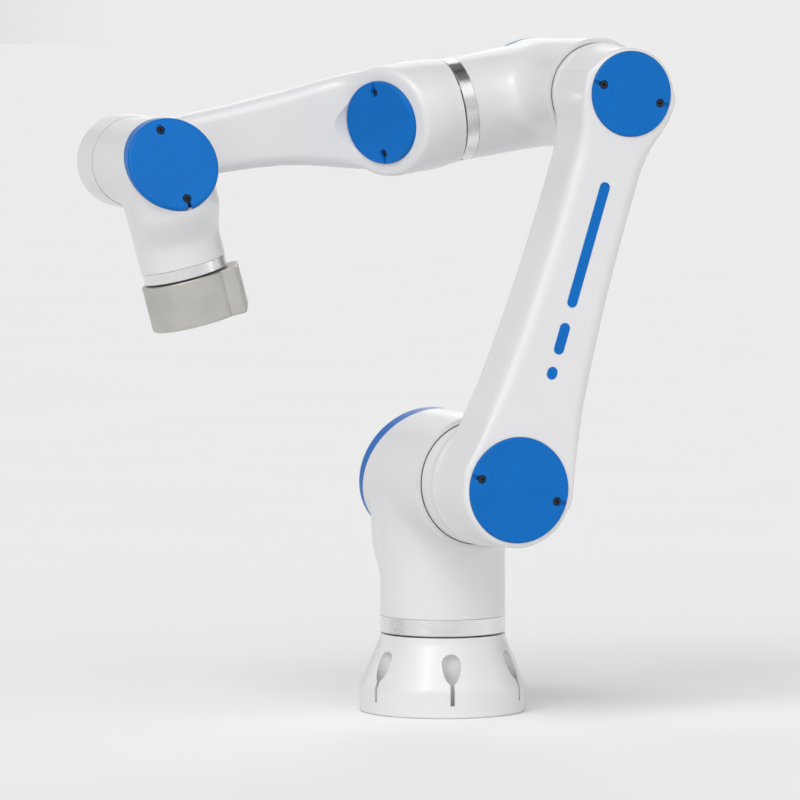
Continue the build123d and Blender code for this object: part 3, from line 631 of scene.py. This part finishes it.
def finish_shell(obj, wall, cutters):
    """Give an open skin its wall, its recesses and softened edges, all as plain mesh."""
    solid = obj.modifiers.new("wall", "SOLIDIFY")
    solid.thickness = wall
    solid.offset = -1.0
    solid.use_quality_normals = True
    for tool in cutters:
        cut = obj.modifiers.new("recess", "BOOLEAN")
        cut.object = tool
        cut.operation = "DIFFERENCE"
        cut.solver = "EXACT"
    edge = obj.modifiers.new("edge", "BEVEL")
    edge.width = EDGE_RADIUS
    edge.segments = 2
    edge.limit_method = "ANGLE"
    edge.angle_limit = math.radians(50)
    edge.harden_normals = True
    bpy.context.view_layer.update()
    graph = bpy.context.evaluated_depsgraph_get()
    mesh = bpy.data.meshes.new_from_object(obj.evaluated_get(graph))
    obj.modifiers.clear()
    obj.data = mesh
    for tool in cutters:
        bpy.data.objects.remove(tool)


def stand_for(obj, node):
    """Ride on the node's body, take its material, and hide the node."""
    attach(obj, nodes[node]["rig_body"])
    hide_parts(node)
    dress(obj, nodes[node].data.materials[0])
    return obj


# ---- L-shaped joint modules ---------------------------------------------------------
def module_shell(name, node, cover_node, ring_node, place, flow_start, ring_step):
    """Barrel along Y and leg along -Z that flow into each other and into the cover rim."""
    casting = in_frame(node, place)
    rim = in_frame(cover_node, place)
    ring = in_frame(ring_node, place)
    radius = rim[:, 0].max()
    seam = casting[:, 1].min()
    leg_r = ring[:, 0].max() + ring_step
    leg_end = casting[:, 2].min()
    tilt = math.radians(COVER_TILT)
    rim_normal = (0.0, math.cos(tilt), math.sin(tilt))
    split = (rim @ np.array(rim_normal)).min() / math.cos(tilt)
    rim_low = split + radius * math.tan(tilt)
    shift = rim_low - leg_r

    def distance(points):
        x, y, z = points.T
        across_y = np.hypot(x, z)
        across_z = np.hypot(x, y)
        barrel = across_y - radius
        leg = np.maximum(across_z - leg_r, z)
        lean = shift * ease(z, flow_start, -radius)
        back = np.maximum((np.hypot(x, y - lean) - leg_r) / 1.1, z)
        leg = np.minimum(leg, back)
        alike = x * x / np.maximum(across_y * across_z, 1e-6)
        reach = MODULE_BLEND * (1.0 - alike ** 2) + 0.0005
        reach = reach * (1.0 - 0.9 * ease(y * math.cos(tilt) + z * math.sin(tilt),
                                          split * math.cos(tilt) - 0.03,
                                          split * math.cos(tilt)))
        return smooth_union(barrel, leg, reach)

    margin = 0.012
    low = (-radius - margin, seam - margin, leg_end - margin)
    high = (radius + margin, rim_low + margin, radius + margin)
    cuts = [((0, seam, 0), (0, -1, 0), ALL), ((0, 0, leg_end), (0, 0, -1), ALL),
            ((0, split, 0), rim_normal, ALL)]
    return shell(name, node, distance, low, high, cuts, place)


# ---- upper arm ----------------------------------------------------------------------
def blend_reach(most, across, along, elsewhere):
    """Short reach where beam and housing run side by side, and most where they cross."""
    alike = np.abs(across) / np.maximum(np.hypot(across, along), 1e-6)
    return 0.0005 + most * np.maximum(1 - alike ** 2, elsewhere)


def upper_arm_shell(name, node, place):
    """Waisted box beam, rounded all round, that flows into a housing at each end."""
    casting = in_frame(node, place)
    length = (ELBOW - SHOULDER).length
    skin = casting[:, 1].min()
    back = skin + BEAM_DEPTH
    low_seam = casting[:, 1].max()
    high_seam = low_seam - SEAM_STEP
    low_r = -casting[:, 2].min() - HOUSING_FLARE[0]
    high_r = casting[:, 2].max() - length - HOUSING_FLARE[1]

    def outline(x, z):
        waist = WAIST_HALF + WAIST_CURVE * (z - WAIST_AT) ** 2
        slope = 2 * WAIST_CURVE * (z - WAIST_AT)
        band = (np.abs(x) - waist) / np.sqrt(1 + slope ** 2)
        band = np.maximum(band, np.maximum(-z, z - length))
        low = np.hypot(x, z) - low_r
        high = np.hypot(x, z - length) - high_r
        return smooth_union(smooth_union(band, low, 0.010), high, 0.035)

    def housing(x, y, z, radius, flare, seam):
        grown = radius + flare * np.clip((y - HOUSING_FRONT) / (seam - HOUSING_FRONT), 0, 1.2)
        return np.maximum(np.hypot(x, z) - grown, HOUSING_FRONT - y)

    def distance(points):
        x, y, z = points.T
        middle = ease(z, 0.02, 0.10) * ease(length - z, 0.01, 0.07)
        radius = 0.004 + 0.009 * middle
        depth = np.maximum(y - back, skin - y)
        beam = rounded_both(outline(x, z), depth, radius)
        low = housing(x, y, z, low_r, HOUSING_FLARE[0], low_seam)
        high = housing(x, y, z - length, high_r, HOUSING_FLARE[1], high_seam)
        on_back = ease(y, back - 0.006, back - 0.001)
        beam = smooth_union(beam, low, blend_reach(0.016, x, np.maximum(z, 0.0), on_back))
        upward = np.maximum(length - z, 0.0)
        return smooth_union(beam, high, blend_reach(0.016, x, upward, on_back))

    margin = 0.01
    low = (-low_r - 0.015, skin - margin, -low_r - 0.015)
    high = (low_r + 0.015, low_seam + margin, length + high_r + 0.015)
    cuts = [((0, low_seam, 0), (0, 1, 0), (2, -1.0, length / 2)),
            ((0, high_seam, 0), (0, 1, 0), (2, length / 2, 10.0))]
    cutters = []
    for at, cover in ((0.0, "upper_arm_shoulder_cover"), (length, "upper_arm_elbow_cover")):
        disc = in_frame(cover, place)
        axis = place @ Matrix.Translation((0, 0, at)) @ Matrix.Rotation(math.pi / 2, 4, "X")
        cutters.append(cutter(axis, disc[:, 0].max() + 0.0003, -disc[:, 1].max(),
                              0.01 - skin))
    return shell(name, node, distance, low, high, cuts, place, cutters)


# ---- forearm ------------------------------------------------------------------------
# Blade sections: station, bottom, top, back and front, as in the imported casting.
BLADE = ((132, -47, 47, -49, -14), (178, -46, 49, -66, -26), (205, -38.6, 46.0, -76, -40),
         (250, -28.6, 40.6, -92, -48.5), (300, -25.2, 36.0, -104, -58),
         (345, -27.0, 33.6, -112, -66.8), (401, -33.0, 34.0, -116, -66.8))


def blade_profile(station, column):
    """One edge of the blade along the forearm, in metres, smoothed between sections."""
    stations = [row[0] / 1000 for row in BLADE]
    values = [row[column] / 1000 for row in BLADE]
    offsets = np.linspace(-0.018, 0.018, 7)
    return sum(np.interp(station + o, stations, values) for o in offsets) / len(offsets)


def forearm_shell(name, node, place):
    """Barrel round J4 with a slanted cover face, a flat blade and the J5 housing."""
    casting = in_frame(node, place)
    cover = in_frame("forearm_cover", place)
    plug = in_frame("forearm_end_cover", place)
    length = (WRIST - ELBOW).length
    start = casting[:, 1].min()
    radius = casting[:, 2].max()
    tilt = math.radians(FOREARM_COVER_TILT)
    normal = (0.0, math.cos(tilt), math.sin(tilt))
    split = (cover @ np.array(normal)).min() + 0.002 * math.cos(tilt)
    closed = casting[:, 2].min()
    seam = in_frame("j5_seal", place)[:, 2].min() - 0.0004
    housing_r = casting[:, 1].max() - length

    def distance(points):
        x, y, z = points.T
        grown = radius - 0.0025 * (1 - ease(y, start - 0.002, start + 0.026))
        slant = y * normal[1] + z * normal[2] - split
        barrel = rounded_both(np.hypot(x, z) - grown, slant, 0.004)
        bottom, top, back, front = (blade_profile(y, i) for i in (1, 2, 3, 4))
        half_x, half_z = (top - bottom) / 2, (front - back) / 2
        corner = np.minimum(0.012, 0.45 * np.minimum(2 * half_x, 2 * half_z))
        qx = np.abs(x - (top + bottom) / 2) - half_x + corner
        qz = np.abs(z - (front + back) / 2) - half_z + corner
        blade = np.hypot(np.maximum(qx, 0), np.maximum(qz, 0)) - corner
        blade = (blade + np.minimum(np.maximum(qx, qz), 0)) / 1.05
        blade = np.maximum(blade, np.maximum(0.135 - y, y - length))
        housing = np.hypot(x, y - length) - housing_r
        housing = rounded_both(housing, closed - z, 0.006)
        flat = ease(qz - qx, -0.006, 0.006)
        spread = np.maximum(np.hypot(x, z), 1e-6)
        alike = (flat * np.abs(z) + (1 - flat) * np.abs(x)) / spread
        body = smooth_union(barrel, blade, 0.0005 + 0.03 * (1 - alike ** 2))
        reach = 0.0005 + 0.025 * ease(-z, -seam, -seam + 0.02)
        return smooth_union(body, housing, reach)

    low = (-radius - 0.012, start - 0.01, closed - 0.01)
    high = (radius + 0.012, length + housing_r + 0.012, radius + 0.012)
    cuts = [((0, start, 0), (0, -1, 0), (1, -1.0, length / 2)),
            ((0, 0, seam), (0, 0, 1), (1, length - housing_r - 0.012, 10.0))]
    seat = (cover @ np.array(normal)).min()
    along = place @ Matrix.Rotation(-math.pi / 2, 4, "X")
    slant_point = (0, 0, seat / normal[1])
    slant_normal = (0, -normal[2], normal[1])
    behind = place @ Matrix.Translation((0, length, 0))
    cutters = [cutter(along, cover[:, 0].max() + 0.0003, 0.10, 0.26,
                      (slant_point, slant_normal)),
               cutter(behind, plug[:, 0].max() + 0.0002, closed - 0.01, plug[:, 2].max())]
    return shell(name, node, distance, low, high, cuts, place, cutters)


# ---- generic mark on the upper arm --------------------------------------------------
# Bars in place of lettering: name, distance from the shoulder axis, and length.
ARM_STRIPES = (("arm_stripe_long", 0.235, 0.120), ("arm_stripe_middle", 0.145, 0.030),
               ("arm_stripe_short", 0.112, 0.012))
STRIPE_WIDTH = 0.010
STRIPE_THICK = 0.0003
STRIPE_SUNK = 0.00005      # the back of a bar stands this far inside the skin
STRIPE_TAPER = 0.96        # its crown is this much narrower
STRIPE_CROWN = 1.25        # and stands this much higher than its edge


def rounded_bar(name, body, place, length, width, thick):
    """Thin bar with round ends along Z of place, standing on its XZ plane towards -Y."""
    builder = bmesh.new()
    half, steps = width / 2, 16
    outline = []
    for end, start in ((length / 2 - half, 0.0), (half - length / 2, math.pi)):
        for step in range(steps + 1):
            angle = start + math.pi * step / steps
            outline.append((half * math.cos(angle), 0.0, end + half * math.sin(angle)))
    back = [builder.verts.new(point) for point in outline]
    front = [builder.verts.new((x, -thick, z)) for x, _, z in outline]
    inset = [builder.verts.new((x * STRIPE_TAPER, -thick * STRIPE_CROWN, z)) for x, _, z in outline]
    count = len(outline)
    for low, high in ((back, front), (front, inset)):
        for i in range(count):
            j = (i + 1) % count
            builder.faces.new((low[i], low[j], high[j], high[i]))
    builder.faces.new(inset)
    builder.faces.new(back[::-1])
    bmesh.ops.recalc_face_normals(builder, faces=builder.faces[:])
    mesh = bpy.data.meshes.new(name)
    builder.to_mesh(mesh)
    builder.free()
    mesh.transform(place)
    obj = bpy.data.objects.new(name, mesh)
    bpy.context.scene.collection.objects.link(obj)
    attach(obj, body)
    dress(obj, shared["blue_cover"])
    return obj


def arm_stripes():
    """Plain blue bars along the face of the upper arm."""
    skin = in_frame("upper_arm_casting", ARM_PLACE)[:, 1].min()
    for name, along, length in ARM_STRIPES:
        place = ARM_PLACE @ Matrix.Translation((0, skin + STRIPE_SUNK, along))
        rounded_bar(name, "upper_arm", place, length, STRIPE_WIDTH, STRIPE_THICK)


# ---- shells and stripes in place ----------------------------------------------------
module_shell("shoulder_shell", "shoulder_casting", "shoulder_cover", "j1_trim_ring",
             SHOULDER_PLACE, -0.100, -0.0002)
module_shell("elbow_shell", "elbow_casting", "elbow_cover", "j4_trim_ring",
             ELBOW_PLACE, -0.078, 0.0002)
module_shell("wrist_shell", "wrist_casting", "wrist_cover", "j6_trim_ring",
             WRIST_PLACE, -0.078, 0.0004)
forearm_shell("forearm_shell", "forearm_casting", FOREARM_PLACE)
upper_arm_shell("upper_arm_shell", "upper_arm_casting", ARM_PLACE)
arm_stripes()


# ---- floor, light and camera --------------------------------------------------------
FLOOR_SIZE = 300.0
FLOOR_DROP = 0.0002        # the floor lies this far below the foot
FLOOR_COLOURS = ((0.93, 0.93, 0.93), (0.95, 0.95, 0.95))
KEY_ENERGY = 0.7
KEY_ANGLE = 25
KEY_DIRECTION = (0.55, 0.45, -0.85)
# Softboxes of the studio: direction, half width and softness in cosine, and brightness.
SOFTBOXES = (((-0.75, -0.55, 0.45), 0.93, 0.975, 1.3), ((0.85, -0.45, 0.30), 0.95, 0.985, 0.8),
             ((-0.15, -0.90, 0.85), 0.90, 0.96, 1.2), ((0.3, 0.9, 0.5), 0.90, 0.97, 0.8))
# Dark flags, which give polished metal its contrast: how much each takes away. The first
# ones stand upright, and only their azimuth counts; the last one hangs overhead.
UPRIGHT_FLAGS = (((-0.90, 0.43), 0.92, 0.96, 0.85), ((0.12, -0.99), 0.975, 0.992, 0.35),
                 ((0.93, 0.37), 0.94, 0.975, 0.65), ((0.0, 1.0), 0.95, 0.98, 0.45))
OVERHEAD_FLAG = ((0.35, 0.10, 1.0), 0.82, 0.91, 0.80)
SKY = 0.80
HORIZON = 0.84             # the world is as bright as the floor where they meet
HORIZON_REACH = 0.30


def studio_light():
    """World of a pale sky with softboxes and dark flags, bright along the horizon."""
    world = bpy.data.worlds.new("studio")
    world.use_nodes = True
    bpy.context.scene.world = world
    tree = world.node_tree
    back = tree.nodes["Background"]
    back.inputs["Color"].default_value = (1.0, 1.0, 1.0, 1)
    place = tree.nodes.new("ShaderNodeTexCoord").outputs["Generated"]

    def ramp(value, low, high, to_low, to_high):
        node = tree.nodes.new("ShaderNodeMapRange")
        node.interpolation_type = "SMOOTHSTEP"
        tree.links.new(value, node.inputs["Value"])
        for socket, number in zip(("From Min", "From Max", "To Min", "To Max"),
                                  (low, high, to_low, to_high)):
            node.inputs[socket].default_value = number
        return node.outputs["Result"]

    def patch(look, direction, edge, core, to_low, to_high):
        dot = tree.nodes.new("ShaderNodeVectorMath")
        dot.operation = "DOT_PRODUCT"
        dot.inputs[1].default_value = Vector(direction).normalized()
        tree.links.new(look, dot.inputs[0])
        return ramp(dot.outputs["Value"], edge, core, to_low, to_high)

    def combine(operation, a, b):
        node = tree.nodes.new("ShaderNodeMath")
        node.operation = operation
        tree.links.new(a, node.inputs[0])
        tree.links.new(b, node.inputs[1])
        return node.outputs["Value"]

    split = tree.nodes.new("ShaderNodeSeparateXYZ")
    tree.links.new(place, split.inputs["Vector"])
    total = ramp(split.outputs["Z"], 0.0, HORIZON_REACH, HORIZON, SKY)
    for direction, edge, core, brightness in SOFTBOXES:
        total = combine("ADD", total, patch(place, direction, edge, core, 0.0, brightness))
    flat = tree.nodes.new("ShaderNodeVectorMath")
    flat.operation = "MULTIPLY"
    flat.inputs[1].default_value = (1.0, 1.0, 0.0)
    tree.links.new(place, flat.inputs[0])
    level = tree.nodes.new("ShaderNodeVectorMath")
    level.operation = "NORMALIZE"
    tree.links.new(flat.outputs["Vector"], level.inputs[0])
    for direction, edge, core, depth in UPRIGHT_FLAGS:
        total = combine("MULTIPLY", total, patch(level.outputs["Vector"], (*direction, 0.0),
                                                 edge, core, 1.0, 1.0 - depth))
    direction, edge, core, depth = OVERHEAD_FLAG
    total = combine("MULTIPLY", total, patch(place, direction, edge, core, 1.0, 1.0 - depth))
    tree.links.new(total, back.inputs["Strength"])


def studio():
    """Wide pale floor under the studio light, with one broad soft sun for the shadow."""
    mesh = bpy.data.meshes.new("studio_floor")
    builder = bmesh.new()
    bmesh.ops.create_grid(builder, x_segments=8, y_segments=8, size=FLOOR_SIZE)
    builder.to_mesh(mesh)
    builder.free()
    floor = bpy.data.objects.new("studio_floor", mesh)
    bpy.context.scene.collection.objects.link(floor)
    floor.location.z = cad_box[0].z - FLOOR_DROP
    g = Graph("studio_floor")
    g.join(g.colours(g.noise(3.0), *FLOOR_COLOURS), g.shader.inputs["Base Color"])
    g.set(Roughness=0.9, Specular_IOR_Level=0.1)
    dress(floor, g.material)
    data = bpy.data.lights.new("key", "SUN")
    data.energy = KEY_ENERGY
    data.angle = math.radians(KEY_ANGLE)
    key = bpy.data.objects.new("key", data)
    bpy.context.scene.collection.objects.link(key)
    key.rotation_mode = "QUATERNION"
    key.rotation_quaternion = Vector(KEY_DIRECTION).to_track_quat("-Z", "Y")
    studio_light()


CAMERA_AIM = Vector((-0.0381, 0.0143, 0.2955))
CAMERA_AZIMUTH = -20.635
CAMERA_PITCH = 3.645
CAMERA_DISTANCE = 5.4914
CAMERA_LENS = 260.16


def camera():
    """Long lens at about the height of the elbow, from the left of the arm's plane."""
    a, e = math.radians(CAMERA_AZIMUTH), math.radians(CAMERA_PITCH)
    back = Vector((math.sin(a) * math.cos(e), -math.cos(a) * math.cos(e), math.sin(e)))
    data = bpy.data.cameras.new("camera")
    data.lens = CAMERA_LENS
    data.sensor_width = 36.0
    data.clip_end = 1000.0
    obj = bpy.data.objects.new("camera", data)
    bpy.context.scene.collection.objects.link(obj)
    obj.location = CAMERA_AIM + back * CAMERA_DISTANCE
    obj.rotation_mode = "QUATERNION"
    obj.rotation_quaternion = (-back).to_track_quat("-Z", "Y")
    bpy.context.scene.camera = obj


studio()
camera()
bpy.context.scene.view_settings.view_transform = "Standard"
